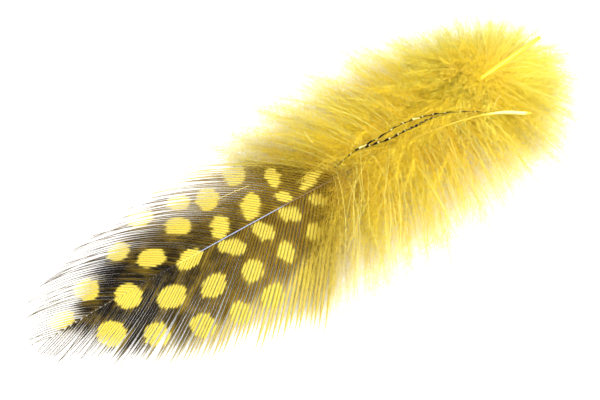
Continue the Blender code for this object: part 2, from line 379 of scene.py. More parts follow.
def mesh_piece(name, arrays, material):
    """A piece of the feather from joined fibres, in millimetres."""
    verts, faces, spread = arrays
    verts[:, 0] = held(verts[:, 0], *LONGEST)
    verts[:, 1] = held(verts[:, 1], *WIDEST)
    verts[:, 2] = np.clip(verts[:, 2], LOWEST, HIGHEST)
    mesh = bpy.data.meshes.new(name)
    mesh.vertices.add(len(verts))
    mesh.vertices.foreach_set("co", (verts * MM).astype(np.float32).ravel())
    mesh.loops.add(faces.size)
    mesh.loops.foreach_set("vertex_index", faces.astype(np.int32).ravel())
    mesh.polygons.add(len(faces))
    mesh.polygons.foreach_set("loop_start", np.arange(0, faces.size, 3, dtype=np.int32))
    for key, value in spread.items():
        mesh.attributes.new(key, "FLOAT", "POINT").data.foreach_set(
            "value", value.astype(np.float32)
        )
    mesh.update(calc_edges=True)
    mesh.validate()
    return feather_piece(bpy.data.objects.new(name, mesh), material)


def held(values, low, high):
    """Values eased back inside two limits over the last millimetre."""
    over = np.maximum(values - (high - 1.0), 0)
    under = np.maximum(low + 1.0 - values, 0)
    return values - over + np.tanh(over) + under - np.tanh(under)


def feather_piece(piece, material):
    bpy.context.scene.collection.objects.link(piece)
    piece.data.materials.clear()
    piece.data.materials.append(material)
    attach(piece, BODY)
    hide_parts(NODE)
    return piece


def dot_share(x, y, shift):
    """How much a place on the vane belongs to a pale dot, and to the dyed rim round it."""
    share, rim = np.zeros_like(x), np.zeros_like(x)
    for cx, cy, half_length, half_width, turn in DOTS:
        c, s = math.cos(math.radians(turn)), math.sin(math.radians(turn))
        dx, dy = x + shift - cx, y - cy
        far = np.hypot((dx * c + dy * s) / half_length, (dy * c - dx * s) / half_width)
        share = np.maximum(share, ease(1.06, 0.90, far))
        rim = np.maximum(rim, ease(2.0, 1.1, far))
    return share, rim


def new_tree(name):
    """The empty node tree of a new material."""
    material = bpy.data.materials.new(name)
    material.use_nodes = True
    material.node_tree.nodes.clear()
    return material, material.node_tree


def add_node(tree, kind, inputs=None, **settings):
    """A node with its settings; each input is a number, an sRGB hex colour or another's output."""
    node = tree.nodes.new(kind)
    node.location = (200 * len(tree.nodes), 0)
    for key, value in settings.items():
        setattr(node, key, value)
    for socket, value in (inputs or {}).items():
        if isinstance(value, bpy.types.NodeSocket):
            tree.links.new(value, node.inputs[socket])
        else:
            node.inputs[socket].default_value = linear(value) if isinstance(value, str) else value
    return node


def layered(tree, colour, layers):
    """A colour with others laid over it. Each layer has a value, where along that value it starts
    and is full, its largest share and its colour."""
    for value, low, high, most, over in layers:
        share = add_node(
            tree,
            "ShaderNodeMapRange",
            {0: value, 1: low, 2: high, 3: 0.0, 4: most},
            interpolation_type="SMOOTHSTEP",
        ).outputs[0]
        colour = add_node(
            tree, "ShaderNodeMix", {0: share, 6: colour, 7: over}, data_type="RGBA"
        ).outputs[2]
    return colour


def keratin(tree, inputs):
    """The feather's own surface, joined to the material's output."""
    shader = add_node(tree, "ShaderNodeBsdfPrincipled", {"IOR": KERATIN_IOR, **inputs})
    add_node(tree, "ShaderNodeOutputMaterial", {"Surface": shader.outputs["BSDF"]})


def vane_material(look):
    """Keratin barbs, dyed: the dark pigment hides the yellow dye, the pale dots take it fully,
    and the barbs near the down carry less pigment and turn olive. Dull, as barbs scatter light."""
    material, tree = new_tree("dyed_keratin_barbs")
    names = ("dot", "rim", "bare", "pale", "olive", "chance", "ramus", "fine", "far", "shade")
    field = {
        name: add_node(tree, "ShaderNodeAttribute", attribute_name=name).outputs["Fac"]
        for name in names
    }
    web, ridge, fine, hair, pale, dot = (
        add_node(
            tree, "ShaderNodeMix", {0: field[name], 6: first, 7: second}, data_type="RGBA"
        ).outputs[2]
        for name, first, second in (
            ("olive", look["dark"], look["olive"]),
            ("olive", "#1E170F", "#8A6E1C"),
            ("olive", "#62543A", "#D2B234"),
            ("chance", "#5E503A", "#8C8062"),
            ("olive", "#A59B7E", "#DCC662"),
            ("ramus", look["dot"], "#DCC040"),
        )
    )
    # the dots are paler far out and duller beside the down
    for name, over in (("far", "#EADC7E"), ("shade", "#CFBC4C")):
        dot = add_node(
            tree, "ShaderNodeMix", {0: field[name], 6: dot, 7: over}, data_type="RGBA"
        ).outputs[2]
    # blotches 3 mm wide, as the dye took unevenly
    where = add_node(tree, "ShaderNodeTexCoord").outputs["Object"]
    blotch = add_node(
        tree, "ShaderNodeTexNoise", {"Vector": where, "Scale": 1 / (3 * MM), "Detail": 2.0}
    ).outputs["Fac"]
    layers = (
        (field["ramus"], 0.0, 1.0, 1.0, ridge),
        (field["fine"], 0.0, 1.0, 0.8, fine),
        (field["rim"], 0.0, 1.0, 0.55, "#A08422"),
        (blotch, 0.50, 0.75, 0.22, "#B8962A"),
        (field["bare"], 0.0, 1.0, 1.0, hair),
        (field["pale"], 0.0, 1.0, 0.85, pale),
        (field["dot"], 0.0, 1.0, 1.0, dot),
    )
    colour = layered(tree, web, layers)
    rough = add_node(
        tree, "ShaderNodeMapRange", {0: field["chance"], 3: 0.50, 4: 0.68}
    ).outputs[0]
    keratin(tree, {"Base Color": colour, "Roughness": rough, "Specular IOR Level": 0.1})
    return material


def down_material(look):
    """Loose downy barbs that took the dye fully: gold where they lie thick, lemon near the
    quill, pale and clear at their tips, and a deeper gold painted at their roots as the shade
    in the pile. Fine fibres scatter light, so it is rough with sheen."""
    material, tree = new_tree("dyed_down")
    field = {
        name: add_node(tree, "ShaderNodeAttribute", attribute_name=name).outputs["Fac"]
        for name in ("place", "tip", "chance")
    }
    # blotches 6 mm wide of a deeper gold
    where = add_node(tree, "ShaderNodeTexCoord").outputs["Object"]
    blotch = add_node(
        tree, "ShaderNodeTexNoise", {"Vector": where, "Scale": 1 / (6 * MM), "Detail": 2.0}
    ).outputs["Fac"]
    layers = (
        (field["place"], 0.08, 0.30, 1.0, look["gold"]),
        # painted shade: a deeper gold near the roots, where the pile shades itself
        (field["tip"], 0.42, 0.0, 0.60, "#FAC61A"),
        (field["place"], 0.72, 1.0, 0.80, "#C2A02A"),
        (blotch, 0.42, 0.70, 0.32, "#ECBE10"),
        (field["chance"], 0.70, 1.0, 0.28, "#FFF286"),
        (field["tip"], 0.34, 1.0, 0.85, "#EDE67A"),
    )
    colour = layered(tree, look["lemon"], layers)
    rough = add_node(
        tree, "ShaderNodeMapRange", {0: field["chance"], 3: 0.65, 4: 0.85}
    ).outputs[0]
    keratin(
        tree,
        {
            "Base Color": colour,
            "Roughness": rough,
            "Specular IOR Level": 0.1,
            "Sheen Weight": 0.08,
            "Sheen Roughness": 0.5,
        },
    )
    return material


def shaft_material(look):
    """Solid keratin of the shaft: glossy, bright yellow at the quill, dark brown in the vane,
    with a bluish pale line painted along its top in the vane as a highlight."""
    material, tree = new_tree("shaft_keratin")
    crown, dot = (
        add_node(tree, "ShaderNodeAttribute", attribute_name=name).outputs["Fac"]
        for name in ("crown", "dot")
    )
    where = add_node(tree, "ShaderNodeTexCoord").outputs["Object"]
    along = add_node(tree, "ShaderNodeSeparateXYZ", {"Vector": where}).outputs["X"]
    # fine grain along the shaft, 0.6 mm across the noise cells and ten times that along
    stretched = add_node(
        tree, "ShaderNodeMapping", {"Vector": where, "Scale": (0.1, 1.0, 1.0)}
    ).outputs["Vector"]
    grain = add_node(
        tree, "ShaderNodeTexNoise", {"Vector": stretched, "Scale": 1 / (0.6 * MM), "Detail": 3.0}
    ).outputs["Fac"]
    # painted highlight: a bluish pale line along the shaft's top, between two places in the vane
    spans = [
        add_node(
            tree,
            "ShaderNodeMapRange",
            {0: value, 1: low, 2: high, 3: 0.0, 4: 1.0},
            interpolation_type="SMOOTHSTEP",
        ).outputs[0]
        for value, low, high in (
            (along, -37.5 * MM, -34.0 * MM),
            (along, -19.0 * MM, -22.5 * MM),
            (crown, 0.55, 0.80),
        )
    ]
    ridge = spans[0]
    for span in spans[1:]:
        ridge = add_node(
            tree, "ShaderNodeMath", {0: ridge, 1: span}, operation="MULTIPLY"
        ).outputs[0]
    layers = (
        (along, -46.0 * MM, -52.0 * MM, 1.0, "#8A7E6C"),
        (along, -24.0 * MM, -18.0 * MM, 1.0, "#7A5C34"),
        # the painted highlight along the top of the shaft
        (ridge, 0.0, 1.0, 1.0, "#929CBA"),
        (dot, 0.0, 1.0, 1.0, look["dot"]),
        (along, -2.0 * MM, 8.0 * MM, 1.0, look["quill"]),
        (grain, 0.50, 0.80, 0.25, "#B98F14"),
        (along, 26.8 * MM, 27.3 * MM, 0.6, "#E8C418"),
    )
    colour = layered(tree, "#1D1712", layers)
    bump = add_node(
        tree, "ShaderNodeBump", {"Height": grain, "Strength": 0.15, "Distance": 0.05 * MM}
    ).outputs["Normal"]
    keratin(
        tree,
        {"Base Color": colour, "Roughness": 0.32, "Specular IOR Level": 0.5, "Normal": bump},
    )
    return material


def stem_material():
    """Thin clear keratin of the afterfeather's stem and of stray bristles: pale yellow with a soft
    gloss. The stretch of stem that lies bare on top of the down is painted almost white, which is
    pale keratin and partly a painted highlight; the bristles take most of that pale colour."""
    material, tree = new_tree("pale_stem_keratin")
    base = add_node(tree, "ShaderNodeAttribute", attribute_name="base").outputs["Fac"]
    where = add_node(tree, "ShaderNodeTexCoord").outputs["Object"]
    grain = add_node(
        tree, "ShaderNodeTexNoise", {"Vector": where, "Scale": 1 / (0.5 * MM), "Detail": 2.0}
    ).outputs["Fac"]
    # base: pale keratin, and on the stem's bare stretch over the down also a painted highlight
    layers = ((base, 0.0, 1.0, 1.0, "#F4E68C"), (grain, 0.50, 0.80, 0.25, "#E8CC3C"))
    colour = layered(tree, "#E2C23A", layers)
    keratin(tree, {"Base Color": colour, "Roughness": 0.3, "Specular IOR Level": 0.5})
    return material


def strand_material():
    """Two twisted bare barbs: black and glossy where their pigment is dense, straw between; the
    straw also paints two highlights.
    """
    material, tree = new_tree("banded_barb_keratin")
    band = add_node(tree, "ShaderNodeAttribute", attribute_name="band").outputs["Fac"]
    share = add_node(
        tree, "ShaderNodeMapRange", {0: band, 1: 0.35, 2: 0.65}, interpolation_type="SMOOTHSTEP"
    ).outputs[0]
    colour = add_node(
        tree, "ShaderNodeMix", {0: share, 6: "#0C0A06", 7: "#E6DA8C"}, data_type="RGBA"
    ).outputs[2]
    rough = add_node(tree, "ShaderNodeMapRange", {0: band, 3: 0.30, 4: 0.50}).outputs[0]
    keratin(tree, {"Base Color": colour, "Roughness": rough, "Specular IOR Level": 0.12})
    return material


def floor_material():
    """Matt white paper sheet: faint fibre mottle 30 mm wide, no gloss."""
    material, tree = new_tree("white_paper")
    where = add_node(tree, "ShaderNodeTexCoord").outputs["Object"]
    cloud = add_node(
        tree, "ShaderNodeTexNoise", {"Vector": where, "Scale": 1 / (30 * MM), "Detail": 2.0}
    ).outputs["Fac"]
    colour = add_node(
        tree, "ShaderNodeMix", {0: cloud, 6: "#F4F4F4", 7: "#FBFBFB"}, data_type="RGBA"
    ).outputs[2]
    shader = add_node(
        tree,
        "ShaderNodeBsdfPrincipled",
        {"Base Color": colour, "Roughness": 0.9, "Specular IOR Level": 0.1},
    )
    add_node(tree, "ShaderNodeOutputMaterial", {"Surface": shader.outputs["BSDF"]})
    return material


def barbules(paths, t, lengths, angle, roll, radius, flat, bend, values, settle=None):
    """Short fibres that leave barbs at the shares t (paths, n) of their length. With a bend of 1
    they are straight, and otherwise their outer half turns away by that much more. settle moves
    their points to their last places."""
    base = sample(paths, t)
    ahead, across, up = (unit(sample(v, t)) for v in frames(paths))
    side = across * np.cos(roll)[..., None] + up * np.sin(roll)[..., None]
    turn = angle[..., None]
    first = ahead * np.cos(turn) + side * np.sin(turn)
    second = ahead * np.cos(turn * bend) + side * np.sin(turn * bend)
    half = lengths[..., None] / 2
    middle = base + first * half
    end = middle + second * half
    count = base.shape[0] * base.shape[1]
    stations = (base, end) if bend == 1.0 else (base, middle, end)
    thick = (radius,) * len(stations)
    points = np.stack(stations, axis=2).reshape(count, len(stations), 3)
    thick = np.stack(thick, axis=2).reshape(count, len(stations))
    keep = lengths.reshape(count) > 1e-3
    kept_values = {}
    for name, value in values.items():
        whole = np.broadcast_to(value, lengths.shape).reshape(count)[keep]
        kept_values[name] = np.repeat(whole[:, None], len(stations), axis=1)
    points = points[keep]
    if settle:
        points = settle(points)
    return strands(points, thick[keep], flat, kept_values)


def room_between(paths):
    """How far apart neighbouring barbs lie at each of their stations."""
    step = np.diff(paths, axis=0)
    ahead = unit(np.gradient(paths, axis=1))[:-1]
    apart = np.abs(step[..., 0] * ahead[..., 1] - step[..., 1] * ahead[..., 0])
    return (np.concatenate((apart[:1], apart)) + np.concatenate((apart, apart[-1:]))) / 2


def build_vane_side(look, side, material, name):
    """The barbs of one side of the vane: a web of barbules with the barb's ridge along it, loose
    barbules at its edges, and bare hairs towards the vane's edge."""
    random = np.random.default_rng(SEEDS[name])
    count = round((VANE_X[-1] - VANE_X[0] - TIP_SPREAD) / look["barb_step"]) + 1
    x = np.linspace(VANE_X[0], VANE_X[-1] - TIP_SPREAD, count)
    x += TIP_SPREAD * (1 - np.exp(-np.arange(count) / 8)) + random.normal(0, 0.03, count)
    x = np.clip(x, VANE_X[0], VANE_X[-1])
    share = (1 - 0.14 * random.random(count) ** 2) * VANE_REACH[side]
    paths, reach = vane_paths(x, side, share)
    free = ease(0.35, 1.0, reach)
    sway = random.normal(0, HAIR_SWAY[side], (count, 1))
    # one in eight sways twice as far
    sway *= np.where(random.random((count, 1)) < 0.12, 2, 1)
    paths[:, :, 1] += side * sway * free
    paths[:, :, 2] += random.uniform(0, 0.06, (count, 1)) * free
    room = np.clip(room_between(paths), 0.10, 0.60)
    bare_from = np.interp(x, VANE_X, BARE_FROM[side])[:, None] + random.normal(0, 0.05, (count, 1))
    pale_from = np.interp(x, VANE_X, PALE_FROM[side])[:, None] + random.normal(0, 0.04, (count, 1))
    shift = random.uniform(-0.22, 0.22, (count, 1))
    rich = random.random((count, 1)) ** 1.5
    dot, rim = dot_share(paths[:, :, 0], paths[:, :, 1], shift)
    olive = ease(-42.0, -14.0, x)[:, None]
    chance = random.random((count, 1))

    def marked(share, dot, rim, fine):
        """What the material reads at these shares of the barbs."""
        return {
            "dot": dot,
            "rim": rim * rich,
            "bare": ease(bare_from, bare_from + 0.28, share),
            "pale": ease(pale_from, pale_from + 0.30, share),
            "olive": olive,
            "chance": chance,
            "ramus": np.zeros((count, 1)),
            "fine": fine,
            "far": ease(*DOT_PALES[side], share),
            "shade": ease(-52.0, -24.0, x)[:, None] * DOT_DULLS[side],
        }

    values = marked(reach, dot, rim, np.zeros((count, 1)))
    bare = values["bare"]
    cover = np.interp(reach, WEB_PLACE, WEB_COVER[side]) * random.uniform(0.86, 1.04, (count, 1))
    # on the upper side the webs part beside the down and leave white gaps
    if side > 0:
        cover *= 1 - 0.25 * ease(-31, -25, x)[:, None] * ease(0.12, 0.4, reach)
    cover += (0.95 - cover) * dot * (1 - bare) * (1 - 0.8 * values["far"])
    width = room * cover * (1 - WEB_TAPER[side] * bare * (1 - 0.45 * dot))
    end = reach / reach[:, -1:]
    width *= 1 - 0.85 * ease(0.76, 1.0, end)
    web = paths.copy()
    web[:, :, 2] -= 0.02
    parts = [strands(web, width / math.sqrt(3), 0.12, values)]
    ridge = paths.copy()
    ridge[:, :, 2] += 0.03
    thin = (RIDGE_RADIUS - 0.008 * reach) * (1 - RIDGE_TAPER[side] * ease(0.62, 1.0, end))
    parts.append(strands(ridge, thin, 1.0, {**values, "ramus": np.ones((count, 1))}))
    number = look["barbules"]
    for hand in (0.0, math.pi):
        at = (np.arange(number)[None] + random.random((count, number))) / number
        where = sample(paths, at)
        share = at * reach[:, -1:]
        wide = sample(room[..., None], at)[..., 0]
        fade = 1 - ease(bare_from, bare_from + 0.25, share)
        length = wide * random.uniform(0.45, 0.95, at.shape) * (0.4 + 0.6 * fade)
        length *= 1 + 0.5 * olive
        length = np.where(random.random(at.shape) < fade + 0.10 + 0.4 * olive, length, 0)
        dot, rim = dot_share(where[..., 0], where[..., 1], shift)
        values = marked(share, dot, rim, random.uniform(0.3, 1.0, (count, 1)))
        angle = np.radians(random.normal(42, 6, at.shape))
        roll = np.radians(random.normal(0, 8, at.shape)) + hand
        thick = np.full(at.shape, BARBULE_RADIUS)
        parts.append(barbules(paths, at, length, angle, roll, thick, 0.5, 1.0, values))
    return mesh_piece(name, join(parts), material)


def part_down(points):
    """Press the down under the quill, the stem and the strands, which lie bare on top."""
    points = points.copy()
    quill = shaft_points(np.linspace(15.1, SHAFT_X[-1], 12))
    stem = smooth_line(list(zip(STEM_X, STEM_Y, STEM_Z)), 60)[30:][::-1]
    for line, reach in (
        (quill, 1.0),
        (stem, 0.9),
        (np.array(UPPER_STRAND), 0.8),
        (np.array(LOWER_STRAND[1:]), 0.8),
    ):
        x = points[..., 0]
        y = np.interp(x, line[:, 0], line[:, 1])
        z = np.interp(x, line[:, 0], line[:, 2])
        slope = np.polyfit(line[:, 0], line[:, 1], 1)[0]
        far = np.abs(points[..., 1] - y) / math.hypot(1, slope)
        near = (x > line[0, 0]) & (x < line[-1, 0] + 0.5) & (far < reach)
        top = z - 0.12 + 0.3 * far + 1.5 * (far / reach) ** 4
        points[..., 2] = np.where(near, np.minimum(points[..., 2], top), points[..., 2])
    return points


def downy(paths, place, reach, look, random):
    """Downy barbs along the paths: a thin soft stem set all round with long barbules, of which
    some curl."""
    count, stations, _ = paths.shape
    t = np.linspace(0, 1, stations)[None]
    values = {
        "place": place[:, None],
        "tip": t * reach[:, None],
        "chance": random.random((count, 1)),
    }
    thin = (DOWN_BARB_RADIUS - 0.015 * t) * np.ones((count, 1))
    parts = [strands(part_down(paths), thin, 1.0, values)]
    for number, bend, longest in (
        (look["down_barbules"], 1.0, 1.15),
        (look["curled_barbules"], 2.1, 1.6),
    ):
        at = (np.arange(number)[None] + random.random((count, number))) / number
        length = look["down_barbule_length"] * random.uniform(0.5, longest, at.shape)
        length *= 1 - 0.5 * at**2
        angle = np.radians(random.uniform(22, 74, at.shape) + 8 * at)
        roll = random.uniform(0, 2 * math.pi, at.shape)
        values = {
            "place": place[:, None],
            "tip": at * reach[:, None],
            "chance": random.random(at.shape),
        }
        thin = DOWN_BARBULE_RADIUS - 0.011 * at
        parts.append(barbules(paths, at, length, angle, roll, thin, 0.7, bend, values, part_down))
    return parts


def down_paths(side, place, height, share, start, random):
    """Courses of downy barbs: they leave the shaft, lean into tufts, wave and arch over."""
    count = len(place)
    # neighbours lean together into soft tufts, longest in the middle of each
    tuft = 2 * math.pi * TUFTS * (place + 0.02 * np.sin(17 * place)) + side
    lean = -5.0 * np.sin(tuft + random.uniform(0, 1.2, count))
    share = share * (0.98 + 0.08 * np.cos(tuft) + 0.05 * np.cos(2.7 * tuft))
    length = np.interp(place, DOWN_PLACE, DOWN_LENGTH[side]) * share
    spread = np.interp(place, (0, 0.1, 0.3, 0.6, 0.9), (15, 13, 12, 10, 7))
    angle = np.interp(place, DOWN_PLACE, DOWN_ANGLE[side]) + lean + random.normal(0, spread)
    along = (np.arange(DOWN_STEPS) + 0.5)[None] / DOWN_STEPS
    wave = random.uniform(3, 18, (count, 1)) * np.sin(
        random.uniform(0, 6.28, (count, 1)) + along * random.uniform(3, 9, (count, 1))
    )
    paths = walk(start, side, angle[:, None] + DOWN_SWEEP * (0.5 - along) + wave * along, length)
    t = np.linspace(0, 1, DOWN_STEPS + 1)[None] ** 0.7
    # the last ones lie under the vane
    over = ease(*UNDER_VANE[side], place)
    low = start[:, 2:] - 0.8 * (1 - over[:, None])
    rise = np.interp(height, ROW_HEIGHT, ROW_RISE) + random.normal(0, 0.5, count)
    tip = np.interp(height, ROW_HEIGHT, ROW_TIP_Z) + random.normal(0, 0.3, count)
    arch = low + (rise * over - 0.5 * (1 - over))[:, None]
    tip = (tip * (0.2 + 0.8 * over))[:, None]
    paths[:, :, 2] = low * (1 - t) ** 2 + 2 * arch * t * (1 - t) + tip * t * t
    return paths


def build_down(look, side, lowest, highest, material, name):
    """Downy barbs of one side, from one height of the pile to another."""
    random = np.random.default_rng(SEEDS[name])
    count = round(DOWN_NUMBER[side] * look["filaments"])
    step = (np.arange(count) + random.random(count)) / count
    place = np.interp(step, (0, *DOWN_CROWD[side], 1), (0, *CROWD_PLACE, 0.99))
    height = random.uniform(lowest, highest, count)
    share = 0.71 + 0.43 * random.random(count) ** LONG_ARE_RARE[side]
    # on the upper side those near the quill are wispy, with a few long ones
    if side > 0:
        wispy = 0.55 + 0.59 * random.random(count) ** 2
        share += (wispy - share) * ease(0.45, 0.25, place)
    share *= np.interp(height, ROW_HEIGHT, ROW_SHARE)
    start = down_roots(place) + random.normal(0, 0.5, (count, 3)) * (1, 1, 0.4)
    paths = down_paths(side, place, height, share, start, random)
    clear = share * (1.15 + 0.6 * ease(0.5, 0.25, place)) if side > 0 else share
    return mesh_piece(name, join(downy(paths, place, clear, look, random)), material)


def build_crest(look, material, name):
    """Downy barbs that lie over the shaft and hide it, with loose fuzz and long pale hairs."""
    random = np.random.default_rng(SEEDS[name])
    count = look["crest_barbs"]
    place = random.uniform(0.02, 0.78, count)
    start = down_roots(place)
    start[:, 1] += random.normal(0, 2.0, count)
    start[:, 2] += random.uniform(0.4, 1.4, count)
    side = np.where(random.random(count) < 0.5, 1, -1)[:, None]
    along = (np.arange(DOWN_STEPS) + 0.5)[None] / DOWN_STEPS
    bend = random.uniform(-14, 30, (count, 1)) * along
    angle = side * (random.uniform(4, 52, (count, 1)) + bend)
    paths = walk(start, 1, angle, random.uniform(8, 16, count))
    t = np.linspace(0, 1, DOWN_STEPS + 1)[None]
    rise = random.uniform(0.6, 2.4, count) * (1 - 0.8 * ease(0.55, 0.9, place))
    paths[:, :, 2] += rise[:, None] * 4 * t * (1 - 0.75 * t) - 0.6 * t
    parts = downy(paths, place, np.full(count, 0.6), look, random)
    # loose fuzz that closes the pile over the roots
    count = look["fuzz"]
    near_quill = random.random(count) < 0.45
    place = np.where(near_quill, random.uniform(0.03, 0.42, count), random.uniform(0, 0.8, count))
    start = down_roots(place) + random.normal(0, 1, (count, 3)) * (1.6, 2.2, 0.3)
    start[:, 2] += random.uniform(0.8, 2.3, count) * (1 - 0.8 * ease(0.55, 0.85, place))
    turns = random.normal(0, 60, (count, 1)) + np.cumsum(random.normal(0, 22, (count, 3)), axis=1)
    paths = walk(start, 1, turns, random.uniform(2.5, 5.5, count))
    t = np.linspace(0, 1, 4)[None]
    paths[:, :, 2] += random.uniform(0.1, 0.9, (count, 1)) * 4 * t * (1 - t)
    # the fuzz's low tip values give it the deeper gold painted as shade in the pile
    values = {
        "place": np.maximum(place, 0.25)[:, None],
        "tip": 0.15 + 0.3 * t,
        "chance": random.random((count, 1)),
    }
    thin = FUZZ_RADIUS - 0.008 * t * np.ones((count, 1))
    parts.append(strands(part_down(paths), thin, 1.0, values))
    # long pale hairs that lie on the pile
    count = look["pale_hairs"]
    for side in (1, -1):
        place = random.uniform(0.04, 0.90, count)
        share = random.uniform(0.55, 1.0, count)
        start = down_roots(place) + random.normal(0, 1, (count, 3)) * (1.5, 1.5, 0.2)
        paths = down_paths(side, place, np.full(count, 2.0), share, start, random)
        paths[:, :, 2] += random.uniform(0.1, 0.9, (count, 1))
        values = {
            "place": place[:, None],
            "tip": np.full((count, 1), 1.0),
            "chance": random.uniform(0.7, 1.0, (count, 1)),
        }
        thin = np.broadcast_to(random.uniform(*PALE_HAIR_RADII, (count, 1)), paths.shape[:2])
        parts.append(strands(part_down(paths), thin, 1.0, values))
    return mesh_piece(name, join(parts), material)


def build_strands(material):
    """Two dark barbs, twisted, that lie over the down; they are pale where they catch the dye, and
    at two glints painted pale as highlights.
    """
    parts = []
    for marks, radius, dashes, painted_glints in (
        (UPPER_STRAND, 0.19, 13.0, (0.24, 0.60)),
        (LOWER_STRAND, 0.25, 17.0, ()),
    ):
        count = 160
        t = np.linspace(0, 1, count)
        path = smooth_line(marks, count)
        twist = 2 * math.pi * 14 * t
        path[:, 1] += 0.06 * np.cos(twist)
        path[:, 2] += 0.10 + 0.06 * np.sin(twist)
        band = 0.5 + 0.5 * np.sin(2 * math.pi * dashes * t + 2 * np.sin(9 * t))
        band = 0.60 * ease(0.76, 1.0, band)
        thick = radius * (0.68 + 0.32 * np.cos(twist)) * (0.55 + 0.45 * ease(0.06, 0.24, t))
        thick *= 1 - 0.65 * ease(0.72, 0.95, t)
        # painted highlights: at these shares the strand is painted straw-pale and made thicker
        for place in painted_glints:
            glint = ease(0.035, 0.012, np.abs(t - place))
            band = np.maximum(band, glint)
            thick = thick * (1 + 0.5 * glint)
        parts.append(strands(path[None], thick[None], 0.8, {"band": band[None]}))
    return mesh_piece("dark_strands", join(parts), material)


def build_bristles(material):
    """Stray pale bristles."""
    parts = []
    for marks in BRISTLES:
        path = smooth_line(marks, 14)
        thick = np.full((1, 14), BRISTLE_RADIUS)
        parts.append(strands(path[None], thick, 1.0, {"base": np.full((1, 14), 0.7)}))
    return mesh_piece("stray_bristles", join(parts), material)


def tube_along(points, radii, sides):
    """A closed round tube in a bmesh: rings bridged along the points, both ends filled."""
    bm = bmesh.new()
    rings = []
    for index, point in enumerate(points):
        before, after = points[max(index - 1, 0)], points[min(index + 1, len(points) - 1)]
        turn = Vector(after - before).to_track_quat("Z", "Y").to_matrix().to_4x4()
        place = Matrix.Translation(Vector(point) * MM) @ turn
        made = bmesh.ops.create_circle(
            bm, cap_ends=False, segments=sides, radius=radii[index] * MM, matrix=place
        )
        rings.append(made["verts"])
    for first, second in zip(rings, rings[1:]):
        edges = {e for v in first + second for e in v.link_edges}
        near = [e for e in edges if all(v in first for v in e.verts)]
        far = [e for e in edges if all(v in second for v in e.verts)]
        bmesh.ops.bridge_loops(bm, edges=near + far)
    bmesh.ops.holes_fill(bm, edges=bm.edges, sides=sides)
    bmesh.ops.recalc_face_normals(bm, faces=bm.faces)
    bm.verts.index_update()
    return bm, rings


def write_mesh(name, bm, layers):
    """Make the mesh, smooth it and add one number for each vertex and name."""
    mesh = bpy.data.meshes.new(name)
    bm.to_mesh(mesh)
    bm.free()
    for key, value in layers.items():
        mesh.attributes.new(key, "FLOAT", "POINT").data.foreach_set(
            "value", np.asarray(value, np.float32)
        )
    mesh.shade_smooth()
    mesh.update()
    return bpy.data.objects.new(name, mesh)


def build_shaft(material):
    """The shaft from the vane's tip to the quill; its ridge and the dots it crosses are marked."""
    x = np.linspace(SHAFT_X[0], SHAFT_X[-1], 90)
    points = shaft_points(x)
    bm, rings = tube_along(points, smooth_between(SHAFT_X, SHAFT_RADIUS, x), 12)
    crown, dot = np.zeros(len(bm.verts)), np.zeros(len(bm.verts))
    crossed = dot_share(points[:, 0], points[:, 1], 0.0)[0] * ease(-34.5, -35.5, x)
    # crown is each vertex's height round its ring; the material paints the highlight where it is
    # high
    for spot, ring in zip(crossed, rings):
        top = max(v.co.z for v in ring)
        low = min(v.co.z for v in ring)
        for vert in ring:
            crown[vert.index] = (vert.co.z - low) / max(top - low, 1e-9)
            dot[vert.index] = spot
    return feather_piece(write_mesh("shaft", bm, {"crown": crown, "dot": dot}), material)


def build_stem(material):
    """The afterfeather's stem: it leaves the quill, turns under the down and lies on top of it."""
    marks = np.arange(len(STEM_X))
    along = np.linspace(0, marks[-1], 60)
    points = smooth_line(list(zip(STEM_X, STEM_Y, STEM_Z)), 60)
    bm, rings = tube_along(points, smooth_between(marks, STEM_RADIUS, along), 10)
    base = np.zeros(len(bm.verts))
    for place, ring in zip(along, rings):
        for vert in ring:
            # the bare stretch on top of the down: pale keratin with a painted highlight
            base[vert.index] = float(ease(6.2, 5.3, place) * ease(3.7, 4.1, place))
    return feather_piece(write_mesh("afterfeather_stem", bm, {"base": base}), material)


